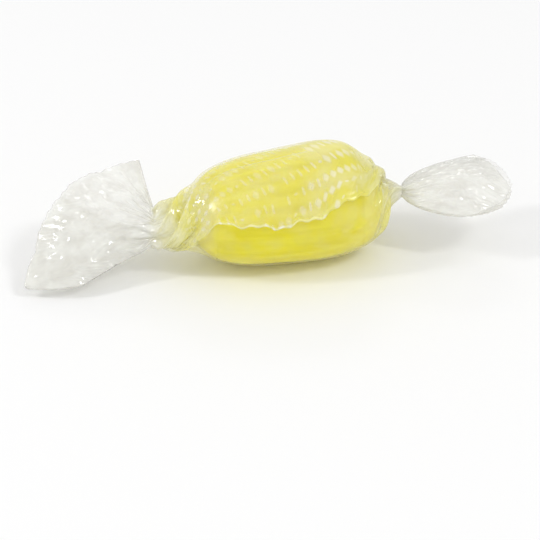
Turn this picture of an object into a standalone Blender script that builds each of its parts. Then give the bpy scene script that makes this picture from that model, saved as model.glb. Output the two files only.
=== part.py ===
"""A sherbet lemon in a clear twist wrapper, lying on its side.

The boiled sweet is sealed in its film, so the whole is one solid: the belly that hugs the sweet,
a pleated shoulder and a twisted neck at each end, and the two fanned tails. The left tail stands up
and leans back with its lower corner by the surface, and the right tail lies level. Metres, +Z up,
with the origin at the middle of the flat spot that the sweet rests on.
"""

import math
from collections import namedtuple

import bmesh
import bpy
from mathutils import Vector

MM = 0.001

# The belly, in millimetres: the sweet with its film on.
BELLY_HALF_LENGTH = 14.4
BELLY_HALF_WIDTH = 9.15
BELLY_HALF_HEIGHT = 7.4
BELLY_BLUNTNESS = 2.9
SECTION_SQUARENESS = 2.15
REST_SPOT_DEPTH = 0.2

# The belly isn't quite even: it lies turned a little in its wrapper, with its right end further back,
# and its upper half is the taller one and grows towards that end, up to a shoulder at TOP_SHOULDER_X.
BELLY_SKEW = 0.027
TOP_SHARE = 1.08
TOP_RISE = 0.012
TOP_SHOULDER_X = 8.5
TOP_SHOULDER = 0.18

# The necks, in millimetres and degrees: how far out and across each is, its height above the surface,
# its half sizes, how far its flat side is rolled from level, how fast the film rises from it on to the
# sweet, and how far it is twisted.
Neck = namedtuple("Neck", "x y height half_width half_thickness roll slope twist")
LEFT_NECK = Neck(-18.2, -1.0, 6.4, 2.5, 1.4, 30.0, 0.42, 110.0)
RIGHT_NECK = Neck(16.9, 0.0, 8.4, 0.9, 0.8, 5.0, 0.55, -120.0)
NECK_STUB = 1.6
SHOULDER_START_X = 9.0
SHOULDER_BLEND = 4.0
SHOULDER_SOFTNESS = 0.7

# The gathers of the film on the shoulders and round the necks.
PLEATS = 12
PLEAT_DEPTH = 0.34

# The tails. A tail's cut edge is given as (degrees round from its outward line, length from the neck).
Tail = namedtuple("Tail", "neck outward across root folds puff edge")
LEFT_TAIL = Tail(
    neck=LEFT_NECK,
    outward=Vector((-0.985, 0.174, 0.0)),
    across=Vector((0.154, 0.870, 0.469)),
    root=4.4,
    folds=5.5,
    puff=0.5,
    edge=((-52, 8.4), (-45, 13.2), (-29, 19.6), (-14, 17.1), (8, 15.4), (33, 13.9), (51, 12.2), (78, 11.7)),
)
RIGHT_TAIL = Tail(
    neck=RIGHT_NECK,
    outward=Vector((0.985, -0.174, 0.0)),
    across=Vector((0.173, 0.981, 0.087)),
    root=1.3,
    folds=3.5,
    puff=1.3,
    edge=((-58, 4.6), (-49, 7.8), (-37, 10.6), (-24, 12.6), (3, 15.4), (31, 15.0), (42, 14.2), (50, 9.6), (61, 7.0)),
)
TAIL_THICKNESS = 1.0
TAIL_FOLD_DEPTH = 0.4

# How finely the faceted solid is cut.
RING_SIDES = 60
RINGS = 46
TAIL_COLUMNS = 26
TAIL_ROWS = 10

FILM_VEILED_YELLOW = (0.76, 0.68, 0.12, 1.0)


def clear_scene():
    for obj in list(bpy.data.objects):
        bpy.data.objects.remove(obj)


def smooth_step(value, low, high):
    """0 below low and 1 above high, with a soft start and end between them."""
    share = min(1.0, max(0.0, (value - low) / (high - low)))
    return share * share * (3.0 - 2.0 * share)


def soft_larger(first, second, softness):
    """The larger of two lengths, with the corner between them rounded."""
    return 0.5 * (first + second + math.sqrt((first - second) ** 2 + softness**2))


def mixed(first, second, share):
    return first + (second - first) * share


def belly_share(x):
    """The belly's girth at x, as a share of its middle girth: a blunt oval, and nothing past its ends."""
    reach = min(1.0, abs(x) / BELLY_HALF_LENGTH)
    return (1.0 - reach**BELLY_BLUNTNESS) ** (1.0 / BELLY_BLUNTNESS)


def film_half_size(x, belly_half, neck_half, neck):
    """Half the wrapper's size at x: the belly, or the film's straight run up from the neck where that is larger."""
    belly = belly_half * belly_share(x)
    shoulder = neck_half + neck.slope * max(0.0, abs(neck.x) - abs(x))
    tented = smooth_step(abs(x), SHOULDER_START_X, SHOULDER_START_X + SHOULDER_BLEND)
    return mixed(belly, soft_larger(belly, shoulder, SHOULDER_SOFTNESS), tented)


def top_rise(x):
    """How tall the belly's upper half is at x, as a share of an even oval's."""
    shoulder = TOP_SHOULDER * smooth_step(x, TOP_SHOULDER_X - 11.0, TOP_SHOULDER_X)
    fall = 1.1 * TOP_SHOULDER * smooth_step(x, TOP_SHOULDER_X - 0.5, TOP_SHOULDER_X + 5.0)
    return TOP_SHARE + TOP_RISE * min(x, 0.0) + shoulder - fall


def wrapper_point(x, angle):
    """A point of the belly, the shoulders and the necks, in millimetres."""
    neck = LEFT_NECK if x < 0.0 else RIGHT_NECK
    gathered = smooth_step(abs(x), SHOULDER_START_X, abs(neck.x))
    half_width = film_half_size(x, BELLY_HALF_WIDTH, neck.half_width, neck)
    half_height = film_half_size(x, BELLY_HALF_HEIGHT, neck.half_thickness, neck)
    power = 2.0 / SECTION_SQUARENESS
    swell = 1.0 - PLEAT_DEPTH * gathered * (0.5 - 0.5 * math.cos(PLEATS * angle))
    twisted = angle + math.radians(neck.twist) * gathered**2
    across = half_width * swell * math.copysign(abs(math.cos(twisted)) ** power, math.cos(twisted))
    upward = half_height * swell * math.copysign(abs(math.sin(twisted)) ** power, math.sin(twisted))
    if upward > 0.0:
        upward *= mixed(top_rise(x), 1.0, gathered)
    roll = math.radians(neck.roll) * gathered
    y = mixed(BELLY_SKEW * x, neck.y, gathered) + across * math.cos(roll) - upward * math.sin(roll)
    z = across * math.sin(roll) + upward * math.cos(roll)
    height = mixed(BELLY_HALF_HEIGHT, neck.height, gathered) + z
    return Vector((x, y, max(REST_SPOT_DEPTH, height) - REST_SPOT_DEPTH))


def make_belly():
    """A tube along X from neck to neck, each ring moved to its own place on the wrapper."""
    mesh = bmesh.new()
    bmesh.ops.create_cone(mesh, cap_ends=True, segments=RING_SIDES, radius1=1.0, radius2=1.0, depth=2.0)
    lengthwise = [edge for edge in mesh.edges if abs(edge.verts[0].co.z - edge.verts[1].co.z) > 1.0]
    bmesh.ops.subdivide_edges(mesh, edges=lengthwise, cuts=RINGS - 2, use_grid_fill=True)
    left_end, right_end = LEFT_NECK.x - NECK_STUB, RIGHT_NECK.x + NECK_STUB
    for vertex in mesh.verts:
        along = 0.5 - 0.5 * math.cos(math.pi * (vertex.co.z + 1.0) / 2.0)
        x = mixed(left_end, right_end, along)
        vertex.co = wrapper_point(x, math.atan2(vertex.co.y, vertex.co.x)) * MM
    bmesh.ops.recalc_face_normals(mesh, faces=mesh.faces)
    return mesh


def edge_length(edge, degrees):
    """The tail's length in a direction, read along its cut edge."""
    for (first_angle, first_length), (last_angle, last_length) in zip(edge, edge[1:]):
        if degrees <= last_angle:
            return mixed(first_length, last_length, (degrees - first_angle) / (last_angle - first_angle))
    return edge[-1][1]


def tail_point(tail, along, over):
    """A point of a tail's lower surface: along runs from the neck to the cut edge, over from side to side."""
    degrees = mixed(tail.edge[0][0], tail.edge[-1][0], over)
    direction = tail.outward * math.cos(math.radians(degrees)) + tail.across * math.sin(math.radians(degrees))
    neck = Vector((tail.neck.x, tail.neck.y, tail.neck.height - REST_SPOT_DEPTH))
    start = neck + tail.across * tail.root * (over - 0.5)
    fold = TAIL_FOLD_DEPTH * math.cos(2.0 * math.pi * tail.folds * over) * smooth_step(along, 0.1, 0.7)
    puff = tail.puff * math.sin(math.pi * along) * math.sin(math.pi * over)
    height = fold + puff - 0.5 * TAIL_THICKNESS
    return mixed(start, neck + direction * edge_length(tail.edge, degrees), along) + upper_side(tail) * height


def upper_side(tail):
    side = tail.outward.cross(tail.across).normalized()
    return side if side.z > 0.0 else -side


def make_tail(tail):
    """A sheet fanned out from the neck, pleated along its length and raised to the thickness of its folds."""
    mesh = bmesh.new()
    bmesh.ops.create_grid(mesh, x_segments=TAIL_ROWS, y_segments=TAIL_COLUMNS, size=1.0)
    for vertex in mesh.verts:
        vertex.co = tail_point(tail, 0.5 + 0.5 * vertex.co.x, 0.5 + 0.5 * vertex.co.y) * MM
    raised = bmesh.ops.extrude_face_region(mesh, geom=mesh.faces)["geom"]
    raised = [item for item in raised if isinstance(item, bmesh.types.BMVert)]
    bmesh.ops.translate(mesh, verts=raised, vec=upper_side(tail) * TAIL_THICKNESS * MM)
    bmesh.ops.recalc_face_normals(mesh, faces=mesh.faces)
    return mesh


def add_object(name, mesh, collection, material=None):
    data = bpy.data.meshes.new(name)
    mesh.to_mesh(data)
    mesh.free()
    data.shade_smooth()
    if material is not None:
        data.materials.append(material)
    obj = bpy.data.objects.new(name, data)
    collection.objects.link(obj)
    return obj


def add_tail(name, mesh, collection):
    tail = add_object(name, mesh, collection)
    tail.hide_render = True
    tail.display_type = "WIRE"
    return tail


def join_to(obj, other):
    union = obj.modifiers.new("join_" + other.name, "BOOLEAN")
    union.operation = "UNION"
    union.object = other


def new_collection(name):
    collection = bpy.data.collections.new(name)
    bpy.context.scene.collection.children.link(collection)
    return collection


def film_over_yellow():
    material = bpy.data.materials.new("film_over_lemon_yellow")
    material.use_nodes = True
    shader = material.node_tree.nodes["Principled BSDF"]
    shader.inputs["Base Color"].default_value = FILM_VEILED_YELLOW
    shader.inputs["Roughness"].default_value = 0.2
    shader.inputs["Metallic"].default_value = 0.0
    return material


def main():
    clear_scene()
    part = new_collection("sherbet_lemon")
    helpers = new_collection("tail_shapes")
    wrapped = add_object("wrapped_sweet", make_belly(), part, film_over_yellow())
    join_to(wrapped, add_tail("left_tail", make_tail(LEFT_TAIL), helpers))
    join_to(wrapped, add_tail("right_tail", make_tail(RIGHT_TAIL), helpers))


main()
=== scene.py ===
"""The looks of a wrapped sherbet lemon: the boiled sweet and the printed film twisted round it."""

import math

import bmesh
import bpy
import numpy as np
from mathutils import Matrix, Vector, noise
from mathutils.bvhtree import BVHTree


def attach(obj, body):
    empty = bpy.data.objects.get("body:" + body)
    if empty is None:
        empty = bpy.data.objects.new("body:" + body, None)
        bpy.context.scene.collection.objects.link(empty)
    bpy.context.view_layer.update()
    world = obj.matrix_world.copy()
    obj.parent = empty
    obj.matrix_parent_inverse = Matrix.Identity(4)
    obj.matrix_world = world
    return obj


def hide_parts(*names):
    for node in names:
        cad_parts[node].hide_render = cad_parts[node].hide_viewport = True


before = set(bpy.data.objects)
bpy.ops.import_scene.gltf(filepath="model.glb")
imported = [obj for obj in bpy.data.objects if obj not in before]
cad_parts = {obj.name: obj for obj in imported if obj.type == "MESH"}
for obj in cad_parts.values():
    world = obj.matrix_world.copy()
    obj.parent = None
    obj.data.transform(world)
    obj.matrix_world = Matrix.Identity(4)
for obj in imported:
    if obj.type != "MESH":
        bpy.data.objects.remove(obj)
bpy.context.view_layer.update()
MM = 0.001


# ---- Boiled sweet ----
# Hard lemon-yellow sugar, pressed in a two-part mould while it was soft: a blunt oval, a little uneven,
# with a faint ridge round its sides where the halves of the mould met.

# The sweet, in millimetres: its half sizes, how blunt its ends and how square its cross-section are (2 is
# an ellipse), how far its right end lies back for each millimetre along, and the film's gap round it.
SWEET_HALF = np.array((13.45, 8.8, 7.05))
SWEET_BLUNTNESS = 2.9
SWEET_SQUARENESS = 2.15
SWEET_SKEW = 0.027
FILM_GAP = 0.15
SWEET_MIDDLE = np.array((0.45, 0.0, SWEET_HALF[2] + FILM_GAP + 0.05))

# Its upper half is taller than the lower one by these shares. It tapers for each millimetre to the left,
# and rises to a shoulder at the right and falls again, each between two places along the sweet.
TOP_SHARE = 1.08
TOP_TAPER = 0.012
SHOULDER_RISE = 0.18
SHOULDER_RISE_FROM_TO = (-2.5, 8.5)
SHOULDER_FALL = 0.2
SHOULDER_FALL_FROM_TO = (8.0, 13.5)

# Its unevenness, as (height, size) in millimetres, and the ridge where the halves of the mould met.
BROAD_LUMPS = (0.16, 6.0)
FINE_LUMPS = (0.05, 2.0)
RIDGE_HEIGHT = 0.12
RIDGE_HALF_WIDTH = 0.5
SINK = 0.05

DARK_STRAND = (0.76, 0.685, 0.0, 1.0)
PALE_STRAND = (0.85, 0.785, 0.03, 1.0)


def sweet_share(points, half):
    """How far out points lie from the sweet's middle: 1 on a blunt oval of these half sizes."""
    across = np.abs(np.asarray(points) / half)
    section = across[..., 1] ** SWEET_SQUARENESS + across[..., 2] ** SWEET_SQUARENESS
    lengthways = across[..., 0] ** SWEET_BLUNTNESS
    return (lengthways + section ** (SWEET_BLUNTNESS / SWEET_SQUARENESS)) ** (1.0 / SWEET_BLUNTNESS)


def smooth_step(value, low, high):
    """0 below low and 1 above high, with a soft start and end between them."""
    share = np.clip((value - low) / (high - low), 0.0, 1.0)
    return share * share * (3.0 - 2.0 * share)


def top_rise(x):
    """How tall the sweet's upper half is at x, as a share of an even oval's."""
    tapered = TOP_SHARE + TOP_TAPER * np.minimum(x, 0.0)
    rise = SHOULDER_RISE * smooth_step(x, *SHOULDER_RISE_FROM_TO)
    fall = SHOULDER_FALL * smooth_step(x, *SHOULDER_FALL_FROM_TO)
    return tapered + rise - fall


def add_piece(name, mesh, material):
    data = bpy.data.meshes.new(name)
    mesh.to_mesh(data)
    mesh.free()
    data.shade_smooth()
    data.materials.append(material)
    piece = bpy.data.objects.new(name, data)
    bpy.context.scene.collection.objects.link(piece)
    return piece


def make_sweet():
    mesh = bmesh.new()
    bmesh.ops.create_icosphere(mesh, subdivisions=6, radius=1.0)
    for vertex in mesh.verts:
        out = np.array(vertex.co) * SWEET_HALF
        point = out / sweet_share(out, SWEET_HALF)
        point[2] *= top_rise(point[0]) if point[2] > 0.0 else 1.0
        lumps = sum(height * noise.noise(Vector(point) / size) for height, size in (BROAD_LUMPS, FINE_LUMPS))
        ridge = RIDGE_HEIGHT * math.exp(-((point[2] / RIDGE_HALF_WIDTH) ** 2))
        point *= 1.0 + (lumps + ridge - SINK) / np.linalg.norm(point)
        point[1] += SWEET_SKEW * point[0]
        vertex.co = Vector(point + SWEET_MIDDLE) * MM
    return mesh


def set_input(tree, socket, value):
    """Feeds an input from another node's output, or sets its value."""
    if isinstance(value, bpy.types.NodeSocket):
        tree.links.new(value, socket)
    else:
        socket.default_value = value


def add_node(tree, kind, **inputs):
    """A new node; an input is given by its name, or by i and its number where two have one name."""
    node = tree.nodes.new(kind)
    for name, value in inputs.items():
        key = int(name[1:]) if name[1:].isdigit() else name.replace("_", " ")
        set_input(tree, node.inputs[key], value)
    return node


def new_finish(name):
    """A material with its nodes, and its Principled BSDF."""
    material = bpy.data.materials.new(name)
    material.use_nodes = True
    return material, material.node_tree.nodes["Principled BSDF"]


def boiled_sugar():
    """Cloudy sugar that light passes a little way into, with strands from the pulling along the sweet."""
    material, shader = new_finish("boiled_lemon_sugar")
    tree = material.node_tree
    shader.inputs["Roughness"].default_value = 0.4
    shader.inputs["IOR"].default_value = 1.5
    shader.inputs["Specular IOR Level"].default_value = 0.15
    shader.inputs["Subsurface Weight"].default_value = 0.7
    shader.inputs["Subsurface Radius"].default_value = (3.0, 2.4, 0.7)
    shader.inputs["Subsurface Scale"].default_value = MM
    place = add_node(tree, "ShaderNodeTexCoord").outputs["Object"]
    pulled = add_node(tree, "ShaderNodeMapping", Vector=place, Scale=(70.0, 700.0, 700.0)).outputs["Vector"]
    strands = add_node(tree, "ShaderNodeTexNoise", Vector=pulled, Scale=1.0, Detail=3.0).outputs["Fac"]
    streaks = add_node(tree, "ShaderNodeValToRGB", Fac=strands)
    dark, pale = streaks.color_ramp.elements
    dark.position = 0.36
    dark.color = DARK_STRAND
    pale.position = 0.66
    pale.color = PALE_STRAND
    bump = add_node(tree, "ShaderNodeBump", Strength=0.3, Distance=0.12 * MM, Height=strands)
    set_input(tree, shader.inputs["Base Color"], streaks.outputs["Color"])
    set_input(tree, shader.inputs["Normal"], bump.outputs["Normal"])
    return material


sweet = add_piece("boiled_sweet", make_sweet(), boiled_sugar())
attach(sweet, "root")
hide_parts("wrapped_sweet")


# ---- Film wrapper ----
# One sheet of clear film, printed in pale ink, rolled round the sweet with its edges lapped at the front.
# Both ends were gripped and twisted, which gathers the film into pleats on the shoulders and packs it
# into the necks. Past the necks it opens again into two flattened, crumpled tails.

# The film, in millimetres: the half sizes of the body that it makes, its girth and lap, how far the lap and
# its outer edge stand off the sweet, and the least gap to the sweet's own surface.
FILM_HALF = np.array((13.8, 8.95, 7.2))
FILM_GIRTH = 67.0
LAP = 12.0
LAP_LIFT = 0.12
EDGE_LIFT = 0.3
FILM_CLEARANCE = 0.06
FILM_THICKNESS = 0.04

# The outer edge starts this far round from level at the back, and lies in a shallow curve on the belly,
# with ripples given as (height, waves to 2 pi millimetres, start).
EDGE_TURN = math.radians(169.0)
EDGE_CURVE = 0.026
EDGE_LOWEST_X = -1.8
EDGE_RIPPLES = ((0.28, 1.15, 0.6), (0.2, 2.9, 0.0))

# Where the film leaves the sweet for the necks, how much longer the tails are than a smooth fan, how firmly
# they are held to their fan, and how high the lowest film is above the surface.
SHOULDER_START = 8.5
SHOULDER_BLEND = 4.5
TAIL_SLACK = 0.03
TAIL_HOLD = 0.012
SURFACE_GAP = 0.04

# How deep the tails' crumples are, and their creases: how many cross the film, how far apart, and the seed.
CRUMPLE_DEPTH = 0.8
BROAD_CREASES = (9, 5.0, 21)
FINE_CREASES = (9, 2.5, 22)
FINE_CREASE_SHARE = 0.35

# How finely the film is divided, and how often its neighbouring points are set apart again.
AROUND_STEPS = 190
MIDDLE_STEPS = 155
TAIL_STEPS = 53
LEFT_NECK_ROW = TAIL_STEPS - 1
RIGHT_NECK_ROW = LEFT_NECK_ROW + MIDDLE_STEPS - 1
SETTLING_ROUNDS = 200


class TwistedEnd:
    """One end of the wrapper, in millimetres and degrees: its neck, and the tail fanned out past it."""

    def __init__(
        self, neck, neck_half, outward, across, twist, slope, pleats, puff, opening, fullness, cut_edge
    ):
        self.neck = np.array(neck)
        self.neck_half = neck_half
        self.outward = np.array(outward)
        self.across = np.array(across)
        self.face = np.cross(self.outward, self.across)
        self.face *= math.copysign(1.0, self.face[2])
        self.twist = math.radians(twist)
        self.slope = slope
        self.pleats = pleats
        self.puff = puff
        self.opening = opening
        self.fullness = fullness
        self.cut_edge = np.array(cut_edge)


# Fullness is how much more film there is round the neck and round the cut edge than a smooth tube would
# need. The cut edge is given as (degrees round from the tail's outward line, length from the neck).
LEFT_END = TwistedEnd(
    neck=(-18.2, -1.0, 6.2),
    neck_half=(2.5, 1.5),
    outward=(-0.985, 0.174, 0.0),
    across=(0.154, 0.870, 0.469),
    twist=110.0,
    slope=0.42,
    pleats=6,
    puff=1.6,
    opening=1.0,
    fullness=(0.5, 0.03),
    cut_edge=((-45, 12.8), (-29, 19.6), (-14, 16.6), (8, 14.8), (33, 13.5), (51, 11.9), (78, 11.6)),
)
RIGHT_END = TwistedEnd(
    neck=(16.9, 0.0, 8.2),
    neck_half=(0.6, 0.55),
    outward=(0.985, -0.174, 0.0),
    across=(0.173, 0.981, 0.087),
    twist=-150.0,
    slope=0.55,
    pleats=7,
    puff=2.6,
    opening=0.5,
    fullness=(0.4, 0.03),
    cut_edge=((-37, 10.6), (-24, 12.6), (-14, 14.0), (3, 15.4), (18, 15.1), (31, 15.0), (42, 14.2)),
)


def mixed(first, second, share):
    return first + (second - first) * share


def turn_round(v):
    """The angle round the sweet of a place round the film, from the lapped front over the top."""
    return EDGE_TURN - 2.0 * math.pi * v / (FILM_GIRTH - LAP)


def from_curved_edge(x, around):
    """How far round the film a place is, in millimetres, with its outer edge curved on the belly."""
    v = FILM_GIRTH * around
    ripple = sum(height * np.sin(waves * x + start) for height, waves, start in EDGE_RIPPLES)
    rise = EDGE_CURVE * np.clip(x - EDGE_LOWEST_X, -7.5, 11.0) ** 2 + ripple
    return v + rise * (1.0 - smooth_step(v, 0.0, 9.0)) * (1.0 - smooth_step(np.abs(x), 10.0, 16.5))


def film_half_size(x, sweet_half, neck_half, end):
    """Half the wrapper's size at x: the sweet's, or the film's run up from the neck where that is larger."""
    reach = np.minimum(1.0, np.abs(x - SWEET_MIDDLE[0]) / FILM_HALF[0])
    hug = sweet_half * (1.0 - reach**SWEET_BLUNTNESS) ** (1.0 / SWEET_BLUNTNESS)
    tent = neck_half + end.slope * np.maximum(0.0, abs(end.neck[0]) - np.abs(x))
    larger = 0.5 * (hug + tent + np.hypot(hug - tent, 0.4))
    return mixed(hug, larger, smooth_step(np.abs(x), SHOULDER_START, SHOULDER_START + SHOULDER_BLEND))


def middle_point(x, v, end):
    """Places on one half of the film between the necks, before it is pleated."""
    gathered = smooth_step(np.abs(x), SHOULDER_START, abs(end.neck[0]))
    angle = turn_round(v) + end.twist * gathered**2
    power = 2.0 / SWEET_SQUARENESS
    half_width = film_half_size(x, FILM_HALF[1], end.neck_half[0], end)
    half_height = film_half_size(x, FILM_HALF[2], end.neck_half[1], end)
    across = half_width * np.sign(np.cos(angle)) * np.abs(np.cos(angle)) ** power
    upward = half_height * np.sign(np.sin(angle)) * np.abs(np.sin(angle)) ** power
    upward *= np.where(upward > 0.0, mixed(top_rise(x), 1.0, gathered), 1.0)
    roll = math.atan2(end.across[2], end.across[1]) * gathered
    y = mixed(SWEET_SKEW * x, end.neck[1], gathered) + across * np.cos(roll) - upward * np.sin(roll)
    z = mixed(SWEET_MIDDLE[2], end.neck[2], gathered**2) + across * np.sin(roll) + upward * np.cos(roll)
    return np.stack((x, y, z), axis=-1)


def tail_point(along, v, end):
    """Places on a tail, before it is pleated: along runs from 0 at the neck to 1 at the cut edge."""
    angle = turn_round(v) + end.twist
    side = 2.0 * np.abs((angle / math.pi) % 2.0 - 1.0) - 1.0  # 1 to -1 and back, once round
    degrees = mixed(end.cut_edge[0, 0], end.cut_edge[-1, 0], 0.5 + 0.5 * side)
    reach = np.interp(degrees, *end.cut_edge.T)
    turn = np.radians(degrees)[..., None]
    opened = (reach * np.maximum(1e-6, along) ** end.opening)[..., None]
    fan = end.outward * np.cos(turn) * (reach * along)[..., None] + end.across * np.sin(turn) * opened
    rope = end.across * (end.neck_half[0] * np.cos(angle))[..., None]
    rope = rope + end.face * (end.neck_half[1] * np.sin(angle))[..., None]
    puffed = end.puff * np.sin(angle) * np.sin(math.pi * 0.92 * along)
    return end.neck + rope * (1.0 - along)[..., None] + fan + end.face * puffed[..., None]


def evenly_spaced(paths, steps):
    """Each column of points spaced evenly along its own length, and the points' distances along it."""
    length = np.linalg.norm(np.diff(paths, axis=0), axis=2).cumsum(axis=0)
    length = np.vstack((np.zeros(paths.shape[1]), length))
    wanted = np.linspace(0.0, 1.0, steps)[:, None] * length[-1]
    spaced = np.empty((steps, paths.shape[1], 3))
    for column in range(paths.shape[1]):
        for axis in range(3):
            spaced[:, column, axis] = np.interp(wanted[:, column], length[:, column], paths[:, column, axis])
    return spaced, wanted


def unpleated_film():
    """The wrapper with its spare girth left out, and each point's place on the flat film."""
    around = np.linspace(0.0, 1.0, AROUND_STEPS)
    left_x, around_grid = np.meshgrid(np.linspace(LEFT_END.neck[0], 0.0, 300), around, indexing="ij")
    right_x = np.meshgrid(np.linspace(0.0, RIGHT_END.neck[0], 300), around, indexing="ij")[0]
    left_half = middle_point(left_x, from_curved_edge(left_x, around_grid), LEFT_END)
    right_half = middle_point(right_x, from_curved_edge(right_x, around_grid), RIGHT_END)
    middle, middle_length = evenly_spaced(np.concatenate((left_half[:-1], right_half)), MIDDLE_STEPS)
    along_grid, v_grid = np.meshgrid(np.linspace(0.0, 1.0, 200), around * FILM_GIRTH, indexing="ij")
    left, left_length = evenly_spaced(tail_point(along_grid, v_grid, LEFT_END), TAIL_STEPS)
    right, right_length = evenly_spaced(tail_point(along_grid, v_grid, RIGHT_END), TAIL_STEPS)
    points = np.concatenate((left[:0:-1], middle, right[1:]))
    lengthways = np.concatenate((-left_length[:0:-1], middle_length, middle_length[-1] + right_length[1:]))
    from_edge = np.broadcast_to(FILM_GIRTH * around, lengthways.shape)
    return points, np.stack((lengthways, from_edge), axis=-1)


def film_noise(flat, size, seed):
    """Smooth noise between -1 and 1 over the flat film, with lumps of this size in millimetres."""
    values = [noise.noise(Vector((u / size, v / size, seed))) for u, v in flat.reshape(-1, 2)]
    return np.array(values).reshape(flat.shape[:2])


def film_fullness():
    """How much more film there is round each row of its grid than the smooth wrapper needs."""
    row = np.arange(RIGHT_NECK_ROW + TAIL_STEPS)
    fullness = np.zeros(len(row))
    for end, from_neck in ((LEFT_END, LEFT_NECK_ROW - row), (RIGHT_END, row - RIGHT_NECK_ROW)):
        at_neck, at_edge = end.fullness
        on_shoulder = mixed(at_neck, 0.0, smooth_step(-from_neck, 0, 0.25 * MIDDLE_STEPS))
        in_tail = mixed(at_neck, at_edge, smooth_step(from_neck, 0, 0.45 * TAIL_STEPS))
        fullness += np.where(from_neck > 0, in_tail, on_shoulder)
    return fullness


def pleated(points, flat):
    """The film with its spare girth taken up in pleats, and its tails crumpled."""
    spare = film_fullness()
    steepness = np.sqrt(4.0 * spare + 2.2 * spare**2)
    girth = np.linalg.norm(np.diff(points, axis=1), axis=2).sum(axis=1)
    normal = np.cross(np.gradient(points, axis=0), np.gradient(points, axis=1))
    normal /= np.maximum(1e-9, np.linalg.norm(normal, axis=2))[..., None]
    row = np.arange(len(points))
    pleats = np.where(row < (LEFT_NECK_ROW + RIGHT_NECK_ROW) / 2, LEFT_END.pleats, RIGHT_END.pleats)
    wander = 0.6 * film_noise(flat, 14.0, 3.0)
    wave = np.sin(2.0 * math.pi * (pleats[:, None] * flat[..., 1] / FILM_GIRTH + wander))
    height = (girth * steepness / pleats / (2.0 * math.pi))[:, None] * wave
    into_tail = np.maximum(LEFT_NECK_ROW - row, row - RIGHT_NECK_ROW)
    depth = CRUMPLE_DEPTH * mixed(0.06, 1.0, smooth_step(into_tail, 0, 0.5 * TAIL_STEPS))
    crumple = creases(flat, *BROAD_CREASES) + FINE_CREASE_SHARE * creases(flat, *FINE_CREASES)
    return points + normal * (height + depth[:, None] * crumple)[..., None]


def creases(flat, count, spacing, seed):
    """Straight creases that cross the flat film at all angles, with flat facets between them."""
    lines = np.random.default_rng(seed)
    height = np.zeros(flat.shape[:2])
    for _ in range(count):
        turn = lines.uniform(0.0, math.pi)
        start = lines.uniform(0.0, 1.0)
        gap = lines.uniform(0.7, 1.6)
        across = flat[..., 0] * math.cos(turn) + flat[..., 1] * math.sin(turn)
        across += spacing * film_noise(flat, 3.0 * spacing, lines.uniform(0.0, 90.0))
        height += np.abs((across / (spacing * gap) + start) % 2.0 - 1.0) - 0.5
    return height / math.sqrt(count)


# Which neighbours on the film's grid keep their distance, and how firmly: along, across and on the slant,
# and more softly two steps away, which keeps the folds from being too sharp.
NEIGHBOURS = ((1, 0, 1.0), (0, 1, 1.0), (1, 1, 0.6), (1, -1, 0.6), (2, 0, 0.25), (0, 2, 0.25))


def neighbour_pairs(rows, columns):
    """For each kind of neighbour, sets of pairs in which no point comes twice."""
    for down, across, firmness in NEIGHBOURS:
        step = max(down, abs(across))
        for first in range(2 * step):
            if down:
                to_left, to_right = max(0, -across), max(0, across)
                near = (slice(first, rows - down, 2 * step), slice(to_left, columns - to_right))
                far = (slice(first + down, rows, 2 * step), slice(to_right, columns - to_left))
            else:
                near = (slice(None), slice(first, columns - across, 2 * step))
                far = (slice(None), slice(first + across, columns, 2 * step))
            yield near, far, abs(across), firmness


def settled(points, smooth, rounds):
    """The film with its neighbouring points set as far apart as its size asks for, outside the sweet."""
    rows, columns = points.shape[:2]
    row = np.arange(rows)
    in_tail = (row < LEFT_NECK_ROW) | (row > RIGHT_NECK_ROW)
    slack = 1.0 + TAIL_SLACK * in_tail[:, None]
    gap_round = np.linalg.norm(np.diff(smooth, axis=1, append=smooth[:, -2:-1]), axis=2)
    spare = (((1.0 + film_fullness()) ** 2 - 1.0)[:, None] * gap_round**2)[..., None]
    pairs = []
    for near, far, across, firmness in neighbour_pairs(rows, columns):
        apart = ((smooth[far] - smooth[near]) ** 2).sum(axis=2) + across**2 * spare[near][..., 0]
        pairs.append((near, far, firmness, np.sqrt(apart) * slack[near[0]]))
    loosely_held = TAIL_HOLD * in_tail[:, None, None]
    necks = [LEFT_NECK_ROW, RIGHT_NECK_ROW]
    neck_points = points[necks].copy()
    v = FILM_GIRTH * np.linspace(0.0, 1.0, columns)
    lift = LAP_LIFT * (1.0 - smooth_step(v, LAP, 1.4 * LAP)) + EDGE_LIFT * (1.0 - smooth_step(v, 0.0, 1.2))
    film_half = SWEET_HALF + FILM_GAP + lift[:, None]
    points = points.copy()
    for _ in range(rounds):
        for near, far, firmness, wanted in pairs:
            apart = points[far] - points[near]
            now = np.sqrt((apart**2).sum(axis=2)) + 1e-9
            move = apart * (0.5 * firmness * (now - wanted) / now)[..., None]
            points[near] += move
            points[far] -= move
        points += loosely_held * (smooth - points)
        points = outside_sweet(points, film_half)
        points[..., 2] = np.maximum(points[..., 2], SURFACE_GAP)
        points[necks] = neck_points
    return points


def outside_sweet(points, half):
    """Places inside an even oval of these half sizes, skewed and raised as the sweet is, moved out to it."""
    even = points - SWEET_MIDDLE
    even[..., 1] -= SWEET_SKEW * even[..., 0]
    above = even[..., 2] > 0.0
    even[..., 2] /= np.where(above, top_rise(even[..., 0]), 1.0)
    even /= np.minimum(1.0, sweet_share(even, half))[..., None]
    even[..., 2] *= np.where(above, top_rise(even[..., 0]), 1.0)
    even[..., 1] += SWEET_SKEW * even[..., 0]
    return even + SWEET_MIDDLE


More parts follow.
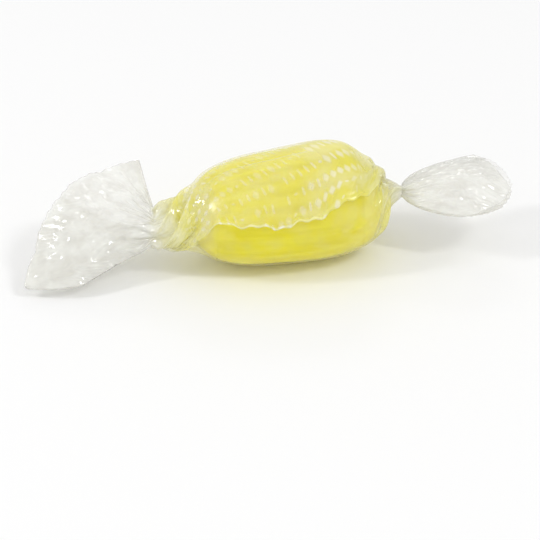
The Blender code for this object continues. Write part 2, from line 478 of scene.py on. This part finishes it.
def clear_of_sweet(shape):
    """The film's points moved out to a thin gap from the sweet, whose surface is a little lumpy."""
    surface = BVHTree.FromObject(sweet, bpy.context.evaluated_depsgraph_get())
    for place in shape.reshape(-1, 3):
        nearest, outward, _, _ = surface.find_nearest(Vector(place) * MM)
        gap = (Vector(place) * MM - nearest).dot(outward)
        if gap < FILM_CLEARANCE * MM:
            place += np.array(outward) * (FILM_CLEARANCE - gap / MM)
    return shape


def make_film():
    smooth, flat = unpleated_film()
    shape = clear_of_sweet(settled(pleated(smooth, flat), smooth, SETTLING_ROUNDS))
    rows, columns = shape.shape[:2]
    mesh = bmesh.new()
    bmesh.ops.create_grid(mesh, x_segments=rows - 1, y_segments=columns - 1, size=1.0)
    film_place = mesh.loops.layers.uv.new("flat_film")
    for vertex in mesh.verts:
        row = round((vertex.co.x + 1.0) * 0.5 * (rows - 1))
        column = round((vertex.co.y + 1.0) * 0.5 * (columns - 1))
        vertex.co = Vector(shape[row, column]) * MM
        for loop in vertex.link_loops:
            loop[film_place].uv = flat[row, column] * MM
    return mesh


# The print, in millimetres: its rows' distance and slant, its marks' distance, and how far each row is moved
# along from the last, as a share of a mark's distance.
PRINT_ROW = 3.1
PRINT_STEP = 1.1
PRINT_SLANT = math.radians(21.0)
PRINT_STAGGER = 0.37

# Each kind of mark: from which draw between 0 and 1 it comes, and half its width, half its height and an
# eighth of the power that rounds it. The last is so small that it leaves a gap.
LOZENGE = (0.0, (0.44, 0.8, 0.16))
DOT = (0.46, (0.26, 0.26, 0.25))
BAR = (0.56, (0.17, 0.76, 0.4))
GAP = (0.9, (0.01, 0.01, 0.25))

# How much of the light each part of the film stops: the bare film, the printed marks, the outer strip that
# carries them, the tails, the gathers beside the necks, the cut edge on the belly, where a pale line is
# painted as its highlight, and the cloudy patches.
BARE_VEIL = 0.01
PRINT_VEIL = 0.068
STRIP_VEIL = 0.06
TAIL_VEIL = 0.27
END_VEIL = 0.26
EDGE_HIGHLIGHT_VEIL = 0.55
CLOUD_VEIL = 0.05

INK = (0.98, 0.97, 0.84, 1.0)
# The next two are painted shade and painted highlight: the film's colour is mixed between them in random
# patches as the light and shade of its crumples.
FILM_SHADE = (0.87, 0.86, 0.805, 1.0)
FILM_LIGHT = (0.97, 0.97, 0.93, 1.0)
# Painted light: the sweet's yellow, painted on the film near the sweet as its reflection.
SWEET_REFLECTION_YELLOW = (0.95, 0.91, 0.16, 1.0)


def add_math(tree, operation, *values):
    node = add_node(tree, "ShaderNodeMath", **{f"i{index}": value for index, value in enumerate(values)})
    node.operation = operation
    return node.outputs["Value"]


def fade(tree, value, none_at, full_at):
    """0 where the value is none_at or past it, and 1 where it is full_at."""
    node = add_node(tree, "ShaderNodeMapRange", Value=value, From_Min=none_at, From_Max=full_at)
    return node.outputs["Result"]


def distance_from(tree, value, middle):
    return add_math(tree, "ABSOLUTE", add_math(tree, "SUBTRACT", value, middle))


def between_colours(tree, share, first, second):
    mix = add_node(tree, "ShaderNodeMix", Factor=share)
    mix.data_type = "RGBA"
    set_input(tree, mix.inputs[6], first)
    set_input(tree, mix.inputs[7], second)
    return mix.outputs[2]


def cell_place(tree, along, size):
    """Where a place lies in its cell of the print, in millimetres from the cell's middle."""
    from_middle = add_math(tree, "SUBTRACT", add_math(tree, "FRACT", along), 0.5)
    return add_math(tree, "MULTIPLY", from_middle, size)


def printed_marks(tree, place):
    """1 inside the marks and 0 between them: slanted rows of small lozenges, dots and upright bars."""
    turned = add_node(tree, "ShaderNodeMapping", Vector=place)
    turned.inputs["Rotation"].default_value[2] = -PRINT_SLANT
    apart = add_node(tree, "ShaderNodeSeparateXYZ", Vector=turned.outputs["Vector"])
    row_place = add_math(tree, "DIVIDE", apart.outputs["Y"], PRINT_ROW * MM)
    row = add_math(tree, "FLOOR", row_place)
    stagger = add_math(tree, "MULTIPLY", row, PRINT_STAGGER)
    mark_place = add_math(tree, "DIVIDE", apart.outputs["X"], PRINT_STEP * MM)
    mark_place = add_math(tree, "ADD", mark_place, stagger)
    mark = add_math(tree, "FLOOR", mark_place)
    cell = add_node(tree, "ShaderNodeCombineXYZ", X=mark, Y=row)
    chance = add_node(tree, "ShaderNodeTexWhiteNoise", Vector=cell.outputs["Vector"])
    shapes = add_node(tree, "ShaderNodeValToRGB", Fac=chance.outputs["Value"])
    shapes.color_ramp.interpolation = "CONSTANT"
    stops = shapes.color_ramp.elements
    stops.remove(stops[-1])
    stops[0].color = (*LOZENGE[1], 1.0)
    for draw, shape in (DOT, BAR, GAP):
        stops.new(draw).color = (*shape, 1.0)
    size = add_node(tree, "ShaderNodeSeparateColor", Color=shapes.outputs["Color"])
    power = add_math(tree, "MULTIPLY", size.outputs["Blue"], 8.0)
    across = cell_place(tree, mark_place, PRINT_STEP)
    upward = cell_place(tree, row_place, PRINT_ROW)
    out = 0.0
    for distance, reach in ((across, size.outputs["Red"]), (upward, size.outputs["Green"])):
        share = add_math(tree, "DIVIDE", add_math(tree, "ABSOLUTE", distance), reach)
        out = add_math(tree, "ADD", out, add_math(tree, "POWER", share, power))
    return fade(tree, out, 1.5, 0.6)


def film_relief(tree, place, in_tail, on_shoulder):
    """The normal of a film with flat creased facets in its tails and fine long gathers on its shoulders."""
    creased = add_node(tree, "ShaderNodeTexVoronoi", Vector=place, Scale=260.0)
    creased.feature = "DISTANCE_TO_EDGE"
    crease = add_math(tree, "MULTIPLY", creased.outputs["Distance"], in_tail)
    crease = add_math(tree, "MULTIPLY", crease, 2.0)
    stretch = add_node(tree, "ShaderNodeMapping", Vector=place, Scale=(130.0, 520.0, 1.0))
    gathered = add_node(tree, "ShaderNodeTexNoise", Vector=stretch.outputs["Vector"], Scale=1.0, Detail=1.0)
    gathered.noise_type = "RIDGED_MULTIFRACTAL"
    gather_depth = add_math(tree, "MULTIPLY", on_shoulder, 0.9)
    gather = add_math(tree, "MULTIPLY", gathered.outputs["Fac"], gather_depth)
    height = add_math(tree, "ADD", crease, gather)
    bump = add_node(tree, "ShaderNodeBump", Strength=0.5, Distance=0.6 * MM, Height=height)
    return bump.outputs["Normal"]


def clear_film():
    """Clear film: mostly open, with a pale veil where it is gathered or printed and a gloss over it. A pale
    line is painted along its cut edge as its highlight, its colour is painted darker and paler in patches as
    the light and shade of its crumples, and near the sweet it is painted yellow as the sweet's reflection.

    Its parts are told apart by their places on the flat film, in metres: along it from the left neck, and
    across it from the outer edge.
    """
    material, shader = new_finish("clear_twist_film")
    tree = material.node_tree
    tree.nodes.remove(shader)
    flat_film = add_node(tree, "ShaderNodeUVMap")
    flat_film.uv_map = "flat_film"
    place = flat_film.outputs["UV"]
    apart = add_node(tree, "ShaderNodeSeparateXYZ", Vector=place)
    along = apart.outputs["X"]
    from_edge = apart.outputs["Y"]

    from_middle = distance_from(tree, along, 0.0205)
    in_tail = fade(tree, from_middle, 0.021, 0.027)
    on_belly = fade(tree, from_middle, 0.0155, 0.0105)
    at_lap = fade(tree, from_middle, 0.0095, 0.0075)
    in_gathers = fade(tree, distance_from(tree, along, 0.0195), 0.005, 0.0125)
    near_sweet = fade(tree, distance_from(tree, along, 0.0235), 0.0245, 0.018)
    hugging = fade(tree, distance_from(tree, along, 0.0232), 0.0118, 0.0098)
    in_strip = fade(tree, from_edge, 0.046, 0.042)
    at_edge = fade(tree, from_edge, 0.0005, 0.0002)

    cloud = add_node(tree, "ShaderNodeTexNoise", Vector=place, Scale=300.0, Detail=2.0).outputs["Fac"]
    mottled = fade(tree, cloud, 0.4, 0.62)
    marks = add_math(tree, "MULTIPLY", printed_marks(tree, place), on_belly)
    marks = add_math(tree, "MULTIPLY", marks, in_strip)

    gather_veil = add_math(tree, "MULTIPLY_ADD", in_strip, 0.6 * END_VEIL, 0.5 * END_VEIL)
    # Along the cut edge on the belly a pale line is painted into the veil: a painted highlight where the
    # edge catches the light.
    cut_edge = add_math(tree, "MULTIPLY", at_edge, at_lap)
    veil_share = add_math(tree, "MULTIPLY_ADD", in_tail, TAIL_VEIL - END_VEIL, BARE_VEIL)
    for where, strength in (
        (in_gathers, gather_veil),
        (cut_edge, EDGE_HIGHLIGHT_VEIL),
        (mottled, CLOUD_VEIL),
        (in_strip, STRIP_VEIL),
        (marks, PRINT_VEIL),
    ):
        veil_share = add_math(tree, "MULTIPLY_ADD", where, strength, veil_share)

    # Near the sweet, and most in the gathers, the veil is painted yellow in patches: painted light, the
    # sweet's yellow reflected in the film.
    patches = add_math(tree, "MULTIPLY_ADD", fade(tree, cloud, 0.4, 0.6), -0.3, 1.0)
    sweet_reflection_share = add_math(tree, "MULTIPLY_ADD", in_gathers, 0.35, 0.65)
    sweet_reflection_share = add_math(tree, "MULTIPLY", sweet_reflection_share, add_math(tree, "MULTIPLY", near_sweet, patches))
    # Painted shade and highlights: the veil's colour goes darker and paler in random patches for the light
    # and shade of the crumples.
    painted_crumple_shading = between_colours(tree, mottled, FILM_SHADE, FILM_LIGHT)
    with_sweet_reflection = between_colours(tree, sweet_reflection_share, painted_crumple_shading, SWEET_REFLECTION_YELLOW)
    printed = between_colours(tree, marks, with_sweet_reflection, INK)

    through = add_node(tree, "ShaderNodeBsdfTransparent").outputs["BSDF"]
    pale = add_node(tree, "ShaderNodeBsdfDiffuse", Color=printed).outputs["BSDF"]
    veil = add_node(tree, "ShaderNodeMixShader", Fac=veil_share, i1=through, i2=pale).outputs["Shader"]

    on_shoulder = add_math(tree, "SUBTRACT", in_gathers, in_tail)
    relief = film_relief(tree, place, in_tail, on_shoulder)
    roughness = add_math(tree, "MULTIPLY_ADD", hugging, 0.3, 0.08)
    gloss = add_node(tree, "ShaderNodeBsdfAnisotropic", Roughness=roughness, Normal=relief)
    gloss.inputs["Color"].default_value = (1.0, 1.0, 1.0, 1.0)
    facing = add_node(tree, "ShaderNodeLayerWeight", Blend=0.5).outputs["Facing"]
    mirror = add_math(tree, "MULTIPLY_ADD", hugging, -0.05, 0.065)
    mirror = add_math(tree, "MULTIPLY_ADD", add_math(tree, "POWER", facing, 4.0), 0.4, mirror)
    film_shader = add_node(tree, "ShaderNodeMixShader", Fac=mirror, i1=veil, i2=gloss.outputs["BSDF"])
    set_input(tree, tree.nodes["Material Output"].inputs["Surface"], film_shader.outputs["Shader"])
    return material


film = add_piece("film_wrapper", make_film(), clear_film())
thickness = film.modifiers.new("film_thickness", "SOLIDIFY")
thickness.thickness = FILM_THICKNESS * MM
thickness.offset = 0.0
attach(film, "root")
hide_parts("wrapped_sweet")


# ---- Floor ----
# The plain pale surface that the sweet lies on.

FLOOR_COLOUR = (0.92, 0.92, 0.92, 1.0)

floor_mesh = bmesh.new()
bmesh.ops.create_grid(floor_mesh, x_segments=1, y_segments=1, size=1.5)
floor_finish, floor_shader = new_finish("pale_floor")
floor_shader.inputs["Base Color"].default_value = FLOOR_COLOUR
floor_shader.inputs["Roughness"].default_value = 0.9
floor = add_piece("floor", floor_mesh, floor_finish)


# ---- Studio lights ----
# Even white light all round, and three small softboxes that give the film its glints.

SWEET_AIM = (0.0, 0.0, 0.007)
ROOM_LIGHT = 0.78


def add_softbox(name, place, size, watts):
    data = bpy.data.lights.new(name, "AREA")
    data.shape = "RECTANGLE"
    data.size = size[0]
    data.size_y = size[1]
    data.energy = watts
    light = bpy.data.objects.new(name, data)
    light.location = place
    light.rotation_euler = (Vector(SWEET_AIM) - Vector(place)).to_track_quat("-Z", "Y").to_euler()
    bpy.context.scene.collection.objects.link(light)


add_softbox("softbox_behind", (0.1, 0.45, 0.3), (0.18, 0.07), 0.13)
add_softbox("softbox_left", (-0.4, 0.0, 0.35), (0.07, 0.16), 0.55)
add_softbox("softbox_right", (0.3, -0.25, 0.45), (0.06, 0.12), 0.65)

world = bpy.data.worlds.new("studio")
world.use_nodes = True
world.node_tree.nodes["Background"].inputs["Color"].default_value = (1.0, 1.0, 1.0, 1.0)
world.node_tree.nodes["Background"].inputs["Strength"].default_value = ROOM_LIGHT
bpy.context.scene.world = world


# ---- Camera ----
# At the photo's angle and framing: from the front, a little to the left, and 30 degrees above.

# BELLY_AT is where the middle of the belly is in the picture, in pixels from its top left corner.
CAMERA_TURN = math.radians(-10.0)
CAMERA_RISE = math.radians(30.0)
PIXELS_PER_MM = 7.2
PHOTO_SIDE = 540
LENS = 150.0
SENSOR = 36.0
BELLY_AT = (283.0, 207.0)

back = Vector((math.sin(CAMERA_TURN), -math.cos(CAMERA_TURN), 0.0)) * math.cos(CAMERA_RISE)
back.z = math.sin(CAMERA_RISE)
right = Vector((math.cos(CAMERA_TURN), math.sin(CAMERA_TURN), 0.0))
upward = back.cross(right)
distance = LENS / SENSOR * PHOTO_SIDE / PIXELS_PER_MM * MM
photo_middle = PHOTO_SIDE / 2
aim = (
    Vector((0.0, 0.0, SWEET_MIDDLE[2])) * MM
    + right * (photo_middle - BELLY_AT[0]) / PIXELS_PER_MM * MM
    - upward * (photo_middle - BELLY_AT[1]) / PIXELS_PER_MM * MM
)
camera_data = bpy.data.cameras.new("photo_camera")
camera_data.lens = LENS
camera_data.sensor_width = SENSOR
camera_data.clip_start = 0.01
camera = bpy.data.objects.new("photo_camera", camera_data)
camera.location = aim + back * distance
camera.rotation_euler = back.to_track_quat("Z", "Y").to_euler()
bpy.context.scene.collection.objects.link(camera)
bpy.context.scene.camera = camera
bpy.context.scene.view_settings.view_transform = "Standard"

# The film's many layers lie one behind another, so light passes more surfaces than usual.
cycles = bpy.context.scene.cycles
cycles.transparent_max_bounces = 64
cycles.max_bounces = 24
cycles.glossy_bounces = 12
cycles.diffuse_bounces = 12
